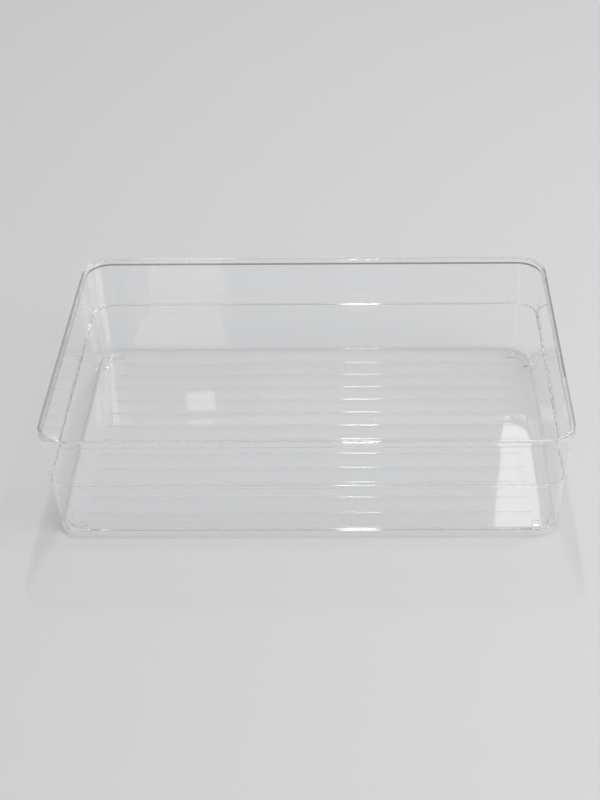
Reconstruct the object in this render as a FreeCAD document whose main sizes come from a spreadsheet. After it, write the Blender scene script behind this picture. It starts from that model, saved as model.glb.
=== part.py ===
import FreeCAD, Part
import math
import os
import Sketcher

# One injection moulded drawer tray in clear plastic. The origin is at the middle of the
# surface that it stands on, with +X along the long side and +Z up. Sizes are millimetres.

SIZES = {
    "tray_length": (228.6, "over the rim, along X"),
    "tray_width": (152.4, "over the rim, along Y"),
    "tray_height": (54.0, "from the feet to the top of the rim"),
    "wall": (1.15, "thickness of the side walls and of the step in them"),
    "floor_thickness": (1.7, "thickness of the floor"),
    "upper_draft": (1.8, "degrees that the wall above the step leans out"),
    "lower_draft": (3.2, "degrees that the wall below the step leans out"),
    "rim_height": (3.3, "height of the rim, slanted underside included"),
    "rim_band": (2.4, "height of the upright outer face of the rim"),
    "rim_overhang": (0.95, "how far the rim stands out from the wall below it"),
    "rim_corner": (13.5, "outer corner radius of the rim, seen from above"),
    "rim_round": (0.4, "rounding of the two upper edges of the rim"),
    "rim_lower_round": (0.3, "rounding of the lower edge of the band"),
    "rim_neck_round": (0.25, "rounding between the slanted underside and the wall"),
    "step_height": (28.0, "from the feet to the underside of the step in the wall"),
    "step_width": (0.68, "how far the lower wall is set in from the upper one"),
    "step_round": (0.25, "rounding of the edges of the step"),
    "floor_round": (1.3, "inner rounding between the walls and the floor"),
    "foot_height": (1.4, "from the surface to the underside of the floor"),
    "foot_width": (2.3, "across one of the four curved feet"),
    "foot_bend": (7.0, "outer radius of the bend of a foot"),
    "foot_leg_x": (1.8, "straight stretch of a foot along X"),
    "foot_leg_y": (2.9, "straight stretch of a foot along Y"),
    "foot_inset_x": (6.3, "from the end of the rim in to the outside of a foot"),
    "foot_inset_y": (9.2, "from the side of the rim in to the outside of a foot"),
    "foot_draft": (4.0, "degrees that the sides of a foot lean in, downwards"),
    "rib_count": (12, "fine ribs along the underside of the floor"),
    "rib_pitch": (10.7, "from one rib to the next"),
    "rib_radius": (0.25, "radius of the half round section of a rib"),
    "rib_length": (198.0, "length of a rib, along X"),
}

doc = FreeCAD.newDocument("organizer_tray")
sizes = doc.addObject("Spreadsheet::Sheet", "sizes")
for row, (alias, (value, meaning)) in enumerate(SIZES.items(), start=1):
    sizes.set("A%d" % row, alias)
    sizes.set("B%d" % row, str(value))
    sizes.set("C%d" % row, meaning)
    sizes.setAlias("B%d" % row, alias)
doc.recompute()

tray = doc.addObject("PartDesign::Body", "tray")
tray.Label = "tray"
tray.Placement = FreeCAD.Placement()

# Heights, as expressions over the sheet.
BAND_FOOT = "(sizes.tray_height - sizes.rim_band)"
RIM_FOOT = "(sizes.tray_height - sizes.rim_height)"
SLANT_HEIGHT = "(sizes.rim_height - sizes.rim_band)"
STEP_TOP = "(sizes.step_height + sizes.wall)"
FLOOR_TOP = "(sizes.foot_height + sizes.floor_thickness)"

# Insets from the outline of the rim. A wall leans out, so its inset grows downwards.
UPPER_LEAN = "tan(sizes.upper_draft * 1 deg)"
LOWER_LEAN = "tan(sizes.lower_draft * 1 deg)"
UPPER_WALL_FOOT = "(sizes.rim_overhang + (%s - sizes.step_height) * %s)" % (RIM_FOOT, UPPER_LEAN)
LOWER_WALL_TOP = "(%s + sizes.step_width)" % UPPER_WALL_FOOT
LOWER_WALL_FOOT = "(%s + (sizes.step_height - sizes.foot_height) * %s)" % (LOWER_WALL_TOP, LOWER_LEAN)
MOUTH = "(sizes.rim_overhang + sizes.wall - sizes.rim_height * %s)" % UPPER_LEAN
INNER_WALL_TOP = "(%s + sizes.wall - sizes.wall * %s)" % (LOWER_WALL_TOP, LOWER_LEAN)

# Outer rounding between the walls and the base, one wall larger than the inner one.
BASE_ROUND = "(sizes.floor_round + sizes.wall)"

# Centre of the bend of the foot in the corner at +X +Y.
FOOT_X = "(sizes.tray_length / 2 - sizes.foot_inset_x - sizes.foot_bend)"
FOOT_Y = "(sizes.tray_width / 2 - sizes.foot_inset_y - sizes.foot_bend)"


def origin_item(role):
    """The tray's own origin plane or axis with this role, such as XY_Plane."""
    return next(item for item in tray.Origin.OriginFeatures if item.Role == role)


def new_sketch(name, role):
    """An empty sketch on one of the tray's origin planes."""
    sketch = tray.newObject("Sketcher::SketchObject", name)
    sketch.AttachmentSupport = [(origin_item(role), "")]
    sketch.MapMode = "FlatFace"
    return sketch


def bind(sketch, name, constraint, expression):
    """Add a constraint, name it and tie its value to the sheet."""
    index = sketch.addConstraint(constraint)
    sketch.renameConstraint(index, name)
    sketch.setExpression("Constraints." + name, expression)


def arc(x, y, radius, start, end):
    """Arc about a point of the sketch, anticlockwise between two angles in degrees."""
    circle = Part.Circle(FreeCAD.Vector(x, y, 0), FreeCAD.Vector(0, 0, 1), radius)
    return Part.ArcOfCircle(circle, math.radians(start), math.radians(end))


def join_tangent(sketch, chain):
    """Join each curve's end to the next one's start, tangent, all the way round."""
    for (first, first_end), (second, second_start) in chain:
        sketch.addConstraint(Sketcher.Constraint("Tangent", first, first_end, second, second_start))


def outline_sketch(name, height, inset):
    """A level rounded rectangle, set in from the outline of the rim on all sides."""
    sketch = new_sketch(name, "XY_Plane")
    sketch.setExpression("AttachmentOffset.Base.z", height)
    half_x, half_y, radius = 100.0, 60.0, 10.0
    quarters = ((1, 1, 0), (-1, 1, 90), (-1, -1, 180), (1, -1, 270))
    corners = []
    for side_x, side_y, start in quarters:
        bend = arc(side_x * (half_x - radius), side_y * (half_y - radius), radius, start, start + 90)
        corners.append(sketch.addGeometry(bend))
    following = corners[1:] + corners[:1]
    sides = []
    for corner, after in zip(corners, following):
        side = Part.LineSegment(sketch.getPoint(corner, 2), sketch.getPoint(after, 1))
        sides.append(sketch.addGeometry(side))
    for corner, side, after in zip(corners, sides, following):
        join_tangent(sketch, [((corner, 2), (side, 1)), ((side, 2), (after, 1))])
    back, left, front, right = sides
    for direction, pair in (("Horizontal", (back, front)), ("Vertical", (left, right))):
        for side in pair:
            sketch.addConstraint(Sketcher.Constraint(direction, side))
    for corner in corners[1:]:
        sketch.addConstraint(Sketcher.Constraint("Equal", corners[0], corner))
    sketch.addConstraint(Sketcher.Constraint("Symmetric", corners[0], 3, corners[2], 3, -1, 1))
    bind(sketch, "across", Sketcher.Constraint("DistanceX", left, 1, right, 1, 2 * half_x),
         "sizes.tray_length - 2 * %s" % inset)
    bind(sketch, "deep", Sketcher.Constraint("DistanceY", front, 1, back, 1, 2 * half_y),
         "sizes.tray_width - 2 * %s" % inset)
    bind(sketch, "corner", Sketcher.Constraint("Radius", corners[0], radius),
         "sizes.rim_corner - %s" % inset)
    return sketch


def extrude(kind, name, sketch, length, taper=None):
    """A Pad or Pocket of a sketch, whose length and taper follow the sheet."""
    feature = tray.newObject("PartDesign::" + kind, name)
    feature.Profile = sketch
    feature.setExpression("Length", length)
    if taper:
        feature.setExpression("TaperAngle", taper)
    doc.recompute()
    return feature


def value_of(expression):
    """The value of an expression over the sheet, as a number."""
    return float(doc.sizes.evalExpression(expression))


def level_loop(shape, height, which):
    """Names of the level edges at a height that make its outer or its inner loop."""
    edges = [(number, edge) for number, edge in enumerate(shape.Edges, start=1)
             if edge.BoundBox.ZLength < 1e-6 and abs(edge.BoundBox.ZMin - height) < 1e-4]
    loops = [Part.Wire(group) for group in Part.sortEdges([edge for number, edge in edges])]
    pick = {"outer": max, "inner": min}[which]
    loop = pick(loops, key=lambda wire: wire.BoundBox.DiagonalLength)
    return ["Edge%d" % number for number, edge in edges
            if loop.distToShape(edge.Vertexes[0])[0] < 1e-4]


def round_loops(name, loops, radius):
    """Round whole loops of edges of the tray as it is so far."""
    base = tray.Tip
    edges = []
    for height, which in loops:
        edges += level_loop(base.Shape, value_of(height), which)
    fillet = tray.newObject("PartDesign::Fillet", name)
    fillet.Base = (base, edges)
    fillet.setExpression("Radius", radius)
    doc.recompute()


def repeat(pattern, original):
    """Make a pattern or mirror of one feature the latest state of the tray."""
    pattern.Originals = [original]
    tray.Tip = pattern
    doc.recompute()


# Outside, from the base up: lower wall, upper wall, slanted underside and band of the rim.
extrude("Pad", "lower_block", outline_sketch("base_outline", "sizes.foot_height", LOWER_WALL_FOOT),
        "sizes.step_height - sizes.foot_height", "sizes.lower_draft")
extrude("Pad", "upper_block", outline_sketch("step_outline", "sizes.step_height", UPPER_WALL_FOOT),
        "%s - sizes.step_height" % RIM_FOOT, "sizes.upper_draft")
extrude("Pad", "rim_slant_block", outline_sketch("rim_foot_outline", RIM_FOOT, "sizes.rim_overhang"),
        SLANT_HEIGHT, "atan(sizes.rim_overhang / %s)" % SLANT_HEIGHT)
extrude("Pad", "rim_band_block", outline_sketch("rim_outline", BAND_FOOT, "0"), "sizes.rim_band")

# Inside, from the mouth down: the wall keeps its thickness through the step.
extrude("Pocket", "upper_hollow", outline_sketch("mouth_outline", "sizes.tray_height", MOUTH),
        "sizes.tray_height - %s" % STEP_TOP, "-sizes.upper_draft")
extrude("Pocket", "lower_hollow", outline_sketch("inner_step_outline", STEP_TOP, INNER_WALL_TOP),
        "%s - %s" % (STEP_TOP, FLOOR_TOP), "-sizes.lower_draft")

round_loops("base_edge", [("sizes.foot_height", "outer")], BASE_ROUND)
round_loops("floor_edge", [(FLOOR_TOP, "outer")], "sizes.floor_round")
round_loops("rim_edges", [("sizes.tray_height", "outer"), ("sizes.tray_height", "inner")],
            "sizes.rim_round")
round_loops("rim_lower_edge", [(BAND_FOOT, "outer")], "sizes.rim_lower_round")
round_loops("rim_neck_edge", [(RIM_FOOT, "outer")], "sizes.rim_neck_round")
round_loops("step_edges", [("sizes.step_height", "outer"), (STEP_TOP, "inner")], "sizes.step_round")


def foot_sketch():
    """Curved foot in the corner at +X +Y, on the surface: a bent band with round ends."""
    sketch = new_sketch("foot_outline", "XY_Plane")
    x, y = value_of(FOOT_X), value_of(FOOT_Y)
    outer, end_radius = value_of("sizes.foot_bend"), value_of("sizes.foot_width / 2")
    leg_x, leg_y = value_of("sizes.foot_leg_x"), value_of("sizes.foot_leg_y")
    middle = outer - end_radius
    along = FreeCAD.Vector(-leg_x, 0, 0)
    down = FreeCAD.Vector(0, -leg_y, 0)
    outer_bend = sketch.addGeometry(arc(x, y, outer, 0, 90))
    inner_bend = sketch.addGeometry(arc(x, y, middle - end_radius, 0, 90))
    end_x = sketch.addGeometry(arc(x - leg_x, y + middle, end_radius, 90, 270))
    end_y = sketch.addGeometry(arc(x + middle, y - leg_y, end_radius, 180, 360))
    legs = []
    for bend, position, offset in ((outer_bend, 2, along), (inner_bend, 2, along),
                                   (outer_bend, 1, down), (inner_bend, 1, down)):
        start = sketch.getPoint(bend, position)
        legs.append(sketch.addGeometry(Part.LineSegment(start, start + offset)))
    outer_x, inner_x, outer_y, inner_y = legs
    join_tangent(sketch, [((outer_bend, 2), (outer_x, 1)), ((inner_bend, 2), (inner_x, 1)),
                          ((outer_bend, 1), (outer_y, 1)), ((inner_bend, 1), (inner_y, 1)),
                          ((outer_x, 2), (end_x, 1)), ((end_x, 2), (inner_x, 2)),
                          ((inner_y, 2), (end_y, 1)), ((end_y, 2), (outer_y, 2))])
    sketch.addConstraint(Sketcher.Constraint("Coincident", outer_bend, 3, inner_bend, 3))
    sketch.addConstraint(Sketcher.Constraint("Horizontal", outer_x))
    sketch.addConstraint(Sketcher.Constraint("Vertical", outer_y))
    bind(sketch, "bend", Sketcher.Constraint("Radius", outer_bend, outer), "sizes.foot_bend")
    bind(sketch, "band", Sketcher.Constraint("Radius", end_x, end_radius), "sizes.foot_width / 2")
    bind(sketch, "leg_x", Sketcher.Constraint("DistanceX", outer_x, 2, outer_x, 1, leg_x),
         "sizes.foot_leg_x")
    bind(sketch, "leg_y", Sketcher.Constraint("DistanceY", outer_y, 2, outer_y, 1, leg_y),
         "sizes.foot_leg_y")
    bind(sketch, "place_x", Sketcher.Constraint("DistanceX", -1, 1, outer_bend, 3, x), FOOT_X)
    bind(sketch, "place_y", Sketcher.Constraint("DistanceY", -1, 1, outer_bend, 3, y), FOOT_Y)
    return sketch


def rib_sketch():
    """Half round section of the first rib, flat side up against the underside of the floor."""
    sketch = new_sketch("rib_section", "YZ_Plane")
    y, z, radius = -50.0, 2.0, 0.5
    bottom = sketch.addGeometry(arc(y, z, radius, 180, 360))
    top = sketch.addGeometry(Part.LineSegment(sketch.getPoint(bottom, 2), sketch.getPoint(bottom, 1)))
    sketch.addConstraint(Sketcher.Constraint("Coincident", bottom, 2, top, 1))
    sketch.addConstraint(Sketcher.Constraint("Coincident", top, 2, bottom, 1))
    sketch.addConstraint(Sketcher.Constraint("Horizontal", top))
    sketch.addConstraint(Sketcher.Constraint("PointOnObject", bottom, 3, top))
    bind(sketch, "half_round", Sketcher.Constraint("Radius", bottom, radius), "sizes.rib_radius")
    bind(sketch, "underside", Sketcher.Constraint("DistanceY", -1, 1, bottom, 3, z), "sizes.foot_height")
    bind(sketch, "first_rib", Sketcher.Constraint("DistanceX", bottom, 3, -1, 1, -y),
         "(sizes.rib_count - 1) / 2 * sizes.rib_pitch")
    return sketch


# Feet reach up into the floor, so that they join it wherever its rounded edge begins.
foot = extrude("Pad", "foot", foot_sketch(), "sizes.foot_height + sizes.floor_thickness / 2",
               "sizes.foot_draft")
mirrors = []
for plane in ("YZ_Plane", "XZ_Plane"):
    mirror = tray.newObject("PartDesign::Mirrored", "mirror_" + plane[:2].lower())
    mirror.MirrorPlane = (origin_item(plane), [""])
    mirrors.append(mirror)
feet = tray.newObject("PartDesign::MultiTransform", "feet")
feet.Transformations = mirrors
repeat(feet, foot)

first_rib = tray.newObject("PartDesign::Pad", "first_rib")
first_rib.Profile = rib_sketch()
first_rib.SideType = "Symmetric"
first_rib.setExpression("Length", "sizes.rib_length")
doc.recompute()
ribs = tray.newObject("PartDesign::LinearPattern", "ribs")
ribs.Direction = (origin_item("Y_Axis"), [""])
ribs.Mode = "Spacing"
ribs.setExpression("Offset", "sizes.rib_pitch")
ribs.setExpression("Occurrences", "sizes.rib_count")
repeat(ribs, first_rib)

for item in doc.Objects:
    if {"Invalid", "Error"} & set(item.State):
        raise ValueError("failed: " + item.Name)
if tray.Shape.isNull() or not tray.Shape.isValid() or len(tray.Shape.Solids) != 1:
    raise ValueError("the tray is not one valid solid")

os.makedirs("parts", exist_ok=True)
tray.Shape.exportStep("parts/%s.step" % tray.Label)
box = tray.Shape.optimalBoundingBox()
print("%s: %.2f x %.2f x %.2f mm, %.0f mm3, %d faces"
      % (tray.Label, box.XLength, box.YLength, box.ZLength, tray.Shape.Volume, len(tray.Shape.Faces)))
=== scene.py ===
import bpy
from mathutils import Matrix, Vector

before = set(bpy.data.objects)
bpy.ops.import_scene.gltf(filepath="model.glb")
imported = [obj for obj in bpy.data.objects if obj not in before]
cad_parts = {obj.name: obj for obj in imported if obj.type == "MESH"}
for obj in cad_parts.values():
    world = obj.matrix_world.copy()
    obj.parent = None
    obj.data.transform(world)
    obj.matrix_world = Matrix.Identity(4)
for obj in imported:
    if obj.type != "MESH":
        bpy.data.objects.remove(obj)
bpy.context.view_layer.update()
scene = bpy.context.scene
scene.view_settings.view_transform = "Standard"

# The cap on light paths that run inside the clear walls, turned back and forth by their faces.
# At 24 the ledge at the right came out far too dark. At 192 most edge lines are too faint.
LIGHT_TURNS = 192
scene.cycles.max_bounces = LIGHT_TURNS
scene.cycles.glossy_bounces = LIGHT_TURNS
scene.cycles.transmission_bounces = LIGHT_TURNS
scene.cycles.transparent_max_bounces = 24

# Where the camera stands, and the directions that point right, up and back from it
CAMERA_PLACE = (0.024368, -0.572479, 0.432580)
CAMERA_RIGHT = (0.9999116, 0.0082029, -0.0104663)
CAMERA_UP = (0.0037223, 0.5829512, 0.8124987)
CAMERA_BACK = (0.0127662, -0.8124658, 0.5828691)
CAMERA_LENS = 67.392
CAMERA_SENSOR = 36.0
CAMERA_SHIFT = (-0.05519, -0.00157)

# Soft light of the room by height: sine of the elevation, and its colour. These colours, the
# tints and the lamps below are fitted to the photo's levels, not known from the room.
WORLD_STOPS = (
    (0.0, (0.22, 0.22, 0.22)),
    (0.17, (0.26, 0.26, 0.26)),
    (0.30, (0.40, 0.40, 0.405)),
    (0.50, (0.46, 0.46, 0.462)),
    (0.72, (0.42, 0.42, 0.425)),
    (0.92, (0.22, 0.22, 0.225)),
)
WORLD_FRONT_TINT = (0.95, 0.99, 1.05)
WORLD_BACK_TINT = (1.01, 1.0, 0.985)
# The change of tint runs between these two values of the direction's Y
TINT_SPAN = (-0.4, 0.4)
# Colour towards the left and right, and its share straight to a side
WORLD_SIDES = (0.46, 0.46, 0.46)
WORLD_SIDES_SHARE = 0.7

# Name, place, point aimed at, width and height, power, colour
LAMPS = (
    ("lamp_back", (0.02, 0.954, 1.526), (0.0, 0.0, 0.0), (0.06, 0.6), 3.2,
     (0.94, 0.975, 1.0)),
    ("lamp_crisp", (0.02, 1.05, 1.52), (0.0, 0.0, 0.0), (0.06, 0.06), 2.2,
     (1.0, 1.0, 1.0)),
    ("lamp_window", (0.36, 1.647, 1.37), (0.08, -0.045, 0.0), (0.16, 0.25), 0.19,
     (1.0, 0.98, 0.95)),
    ("lamp_spot", (-0.273, 1.65, 1.171), (-0.055, 0.027, 0.0), (0.05, 0.035), 0.0045,
     (1.0, 0.98, 0.95)),
    ("lamp_camera", (-0.26, -1.3, 0.80), (0.0, 0.0, 0.05), (0.15, 0.45), 0.5,
     (1.0, 0.95, 0.92)),
    ("lamp_top", (0.62, 0.10, 1.65), (0.0, 0.0, 0.0), (0.12, 0.12), 2.2,
     (1.0, 0.99, 0.97)),
    ("lamp_right", (1.1, -0.45, 0.8), (0.0, 0.0, 0.0), (0.8, 0.6), 6.7,
     (1.0, 0.975, 0.945)),
    ("lamp_front", (0.25, -0.9, 1.6), (0.0, -0.1, 0.0), (1.2, 1.2), 3.2,
     (1.0, 1.0, 1.0)),
)

# The floor lies a hair below the feet
FLOOR_LEVEL = -0.00005
FLOOR_LEFT, FLOOR_RIGHT = -1.6, 1.6
FLOOR_FRONT, FLOOR_BACK = -1.6, 1.3
FLOOR_COLOUR = (0.80, 0.80, 0.80, 1.0)
FLOOR_SHEEN = 0.2
# Scale of the noise, and the two values that it runs between
FLOOR_ROUGHNESS = (12.0, 0.6, 0.8)
FLOOR_GRAIN = (900.0, 0.0, 1.0)
# Strength and distance of the bump
FLOOR_BUMP = (0.05, 0.00005)

PLASTIC_COLOUR = (0.992, 0.996, 1.0, 1.0)
PLASTIC_IOR = 1.59
PLASTIC_ROUGHNESS = (60.0, 0.01, 0.025)
PLASTIC_WAVE = (25.0, 0.0, 1.0)
PLASTIC_BUMP = (0.05, 0.0005)
# Share of light turned back at a flat face struck square on, from the index above
MIRROR_SQUARE = 0.052
# What a graze adds to it. The same formula gives 0.948: 0.6 is chosen, for lighter shadows.
MIRROR_GRAZE = 0.6
GRAZE_POWER = 5.0
# How strongly a rounded edge bends light away, fitted to the lines round the shadow
BEND_LOSS = 3.0


def calculate(nodes, links, operation, *values):
    """A Math node's output, fed with sockets or plain numbers."""
    node = nodes.new("ShaderNodeMath")
    node.operation = operation
    for socket, value in zip(node.inputs, values):
        if isinstance(value, (int, float)):
            socket.default_value = value
        else:
            links.new(value, socket)
    return node.outputs[0]


def noise_between(nodes, links, scale, low, high):
    """Noise over the object, spread between two values."""
    place = nodes.new("ShaderNodeTexCoord")
    noise = nodes.new("ShaderNodeTexNoise")
    noise.inputs["Scale"].default_value = scale
    links.new(place.outputs["Object"], noise.inputs["Vector"])
    spread = nodes.new("ShaderNodeMapRange")
    spread.inputs["To Min"].default_value = low
    spread.inputs["To Max"].default_value = high
    links.new(noise.outputs["Fac"], spread.inputs["Value"])
    return spread.outputs[0]


def bump_from(nodes, links, height, strength, distance):
    """The normal that a height bumps."""
    bump = nodes.new("ShaderNodeBump")
    bump.inputs["Strength"].default_value = strength
    bump.inputs["Distance"].default_value = distance
    links.new(height, bump.inputs["Height"])
    return bump.outputs[0]


def colour_mix(nodes):
    """A Mix node for colours."""
    node = nodes.new("ShaderNodeMix")
    node.data_type = "RGBA"
    return node


def make_camera():
    data = bpy.data.cameras.new("camera")
    data.lens = CAMERA_LENS
    data.sensor_width = CAMERA_SENSOR
    data.shift_x, data.shift_y = CAMERA_SHIFT
    camera = bpy.data.objects.new("camera", data)
    scene.collection.objects.link(camera)
    turn = Matrix((CAMERA_RIGHT, CAMERA_UP, CAMERA_BACK)).transposed().to_4x4()
    camera.matrix_world = Matrix.Translation(CAMERA_PLACE) @ turn
    scene.camera = camera


def make_lamp(name, place, aim, size, power, colour):
    data = bpy.data.lights.new(name, "AREA")
    data.shape = "RECTANGLE"
    data.size, data.size_y = size
    data.energy = power
    data.color = colour
    lamp = bpy.data.objects.new(name, data)
    scene.collection.objects.link(lamp)
    lamp.location = place
    lamp.rotation_euler = (Vector(aim) - Vector(place)).to_track_quat("-Z", "Y").to_euler()


def make_world():
    world = bpy.data.worlds.new("surroundings")
    scene.world = world
    world.use_nodes = True
    # The light paths find the soft light by themselves, so the tray casts no false shadow
    world.cycles.sampling_method = "NONE"
    nodes, links = world.node_tree.nodes, world.node_tree.links
    nodes.clear()
    place = nodes.new("ShaderNodeTexCoord")
    split = nodes.new("ShaderNodeSeparateXYZ")
    links.new(place.outputs["Generated"], split.inputs[0])

    ramp = nodes.new("ShaderNodeValToRGB")
    links.new(split.outputs["Z"], ramp.inputs[0])
    stops = ramp.color_ramp.elements
    while len(stops) < len(WORLD_STOPS):
        stops.new(0.5)
    for stop, (position, colour) in zip(stops, WORLD_STOPS):
        stop.position = position
        stop.color = (*colour, 1.0)

    front_to_back = nodes.new("ShaderNodeMapRange")
    front_to_back.inputs["From Min"].default_value = TINT_SPAN[0]
    front_to_back.inputs["From Max"].default_value = TINT_SPAN[1]
    links.new(split.outputs["Y"], front_to_back.inputs["Value"])
    tint = colour_mix(nodes)
    tint.inputs["A"].default_value = (*WORLD_FRONT_TINT, 1.0)
    tint.inputs["B"].default_value = (*WORLD_BACK_TINT, 1.0)
    links.new(front_to_back.outputs[0], tint.inputs["Factor"])
    tinted = colour_mix(nodes)
    tinted.blend_type = "MULTIPLY"
    tinted.inputs["Factor"].default_value = 1.0
    links.new(ramp.outputs[0], tinted.inputs["A"])
    links.new(tint.outputs["Result"], tinted.inputs["B"])

    # Lighter towards the left and right
    across = calculate(nodes, links, "MULTIPLY", split.outputs["X"], split.outputs["X"])
    aside = calculate(nodes, links, "MULTIPLY", across, WORLD_SIDES_SHARE)
    sides = colour_mix(nodes)
    sides.inputs["B"].default_value = (*WORLD_SIDES, 1.0)
    links.new(aside, sides.inputs["Factor"])
    links.new(tinted.outputs["Result"], sides.inputs["A"])

    background = nodes.new("ShaderNodeBackground")
    background.inputs["Strength"].default_value = 1.0
    output = nodes.new("ShaderNodeOutputWorld")
    links.new(sides.outputs["Result"], background.inputs["Color"])
    links.new(background.outputs[0], output.inputs["Surface"])


def floor_material():
    material = bpy.data.materials.new("floor_paper")
    material.use_nodes = True
    nodes, links = material.node_tree.nodes, material.node_tree.links
    shader = nodes["Principled BSDF"]
    shader.inputs["Base Color"].default_value = FLOOR_COLOUR
    shader.inputs["Specular IOR Level"].default_value = FLOOR_SHEEN
    links.new(noise_between(nodes, links, *FLOOR_ROUGHNESS), shader.inputs["Roughness"])
    grain = noise_between(nodes, links, *FLOOR_GRAIN)
    links.new(bump_from(nodes, links, grain, *FLOOR_BUMP), shader.inputs["Normal"])
    return material


def make_floor():
    mesh = bpy.data.meshes.new("floor")
    corners = [
        (FLOOR_LEFT, FLOOR_FRONT, FLOOR_LEVEL),
        (FLOOR_RIGHT, FLOOR_FRONT, FLOOR_LEVEL),
        (FLOOR_RIGHT, FLOOR_BACK, FLOOR_LEVEL),
        (FLOOR_LEFT, FLOOR_BACK, FLOOR_LEVEL),
    ]
    mesh.from_pydata(corners, [], [(0, 1, 2, 3)])
    floor = bpy.data.objects.new("floor", mesh)
    scene.collection.objects.link(floor)
    mesh.materials.append(floor_material())


def plastic_material():
    material = bpy.data.materials.new("clear_plastic_moulded")
    material.use_nodes = True
    nodes, links = material.node_tree.nodes, material.node_tree.links
    shader = nodes["Principled BSDF"]
    output = nodes["Material Output"]
    shader.inputs["Base Color"].default_value = PLASTIC_COLOUR
    shader.inputs["IOR"].default_value = PLASTIC_IOR
    shader.inputs["Transmission Weight"].default_value = 1.0
    links.new(noise_between(nodes, links, *PLASTIC_ROUGHNESS), shader.inputs["Roughness"])
    wave = noise_between(nodes, links, *PLASTIC_WAVE)
    links.new(bump_from(nodes, links, wave, *PLASTIC_BUMP), shader.inputs["Normal"])

    # What the upright faces mirror is lost to a light that shines through. A level face is taken
    # to lose nothing, on the view that the paper below it passes that light back and forth.
    path = nodes.new("ShaderNodeLightPath")
    facing = nodes.new("ShaderNodeLayerWeight")
    facing.inputs["Blend"].default_value = 0.5
    slant = calculate(nodes, links, "POWER", facing.outputs["Facing"], GRAZE_POWER)
    mirror = calculate(nodes, links, "MULTIPLY_ADD", slant, MIRROR_GRAZE, MIRROR_SQUARE)
    face = nodes.new("ShaderNodeNewGeometry")
    normal = nodes.new("ShaderNodeSeparateXYZ")
    links.new(face.outputs["Normal"], normal.inputs[0])
    level = calculate(nodes, links, "MULTIPLY", normal.outputs["Z"], normal.outputs["Z"])
    upright = calculate(nodes, links, "SUBTRACT", 1.0, level)
    mirrored_share = calculate(nodes, links, "MULTIPLY", mirror, upright)
    passed = calculate(nodes, links, "SUBTRACT", 1.0, mirrored_share)

    # Rounded edges bend the light away, which leaves the soft lines round the shadow
    bend = calculate(nodes, links, "MULTIPLY", level, upright)
    straight = calculate(nodes, links, "MULTIPLY_ADD", bend, -BEND_LOSS, 1.0)
    kept = calculate(nodes, links, "MULTIPLY", passed, straight)

    # Seen from inside the plastic a lamp stays hidden, since its light bends on the way in
    odd = calculate(nodes, links, "MODULO", path.outputs["Transparent Depth"], 2.0)
    outside = calculate(nodes, links, "SUBTRACT", 1.0, face.outputs["Backfacing"])
    open_way = calculate(nodes, links, "MAXIMUM", odd, outside)
    shadow = calculate(nodes, links, "MULTIPLY", kept, open_way)

    # Soft light passes whole, apart from the share that is mirrored
    diffuse_ray = path.outputs["Is Diffuse Ray"]
    clear_way = calculate(nodes, links, "MAXIMUM", shadow, diffuse_ray)
    through = nodes.new("ShaderNodeBsdfTransparent")
    links.new(clear_way, through.inputs["Color"])
    turned_back = calculate(nodes, links, "MULTIPLY", mirrored_share, diffuse_ray)
    mirrored = nodes.new("ShaderNodeBsdfGlossy")
    mirrored.inputs["Roughness"].default_value = 0.0
    onward = nodes.new("ShaderNodeMixShader")
    links.new(turned_back, onward.inputs[0])
    links.new(through.outputs[0], onward.inputs[1])
    links.new(mirrored.outputs[0], onward.inputs[2])

    lighting = calculate(nodes, links, "MAXIMUM", path.outputs["Is Shadow Ray"], diffuse_ray)
    mix = nodes.new("ShaderNodeMixShader")
    links.new(lighting, mix.inputs[0])
    links.new(shader.outputs[0], mix.inputs[1])
    links.new(onward.outputs[0], mix.inputs[2])
    links.new(mix.outputs[0], output.inputs["Surface"])
    return material


make_camera()
make_world()
make_floor()
for lamp in LAMPS:
    make_lamp(*lamp)

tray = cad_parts["tray"]
tray.data.materials[0] = plastic_material()

bpy.context.view_layer.update()
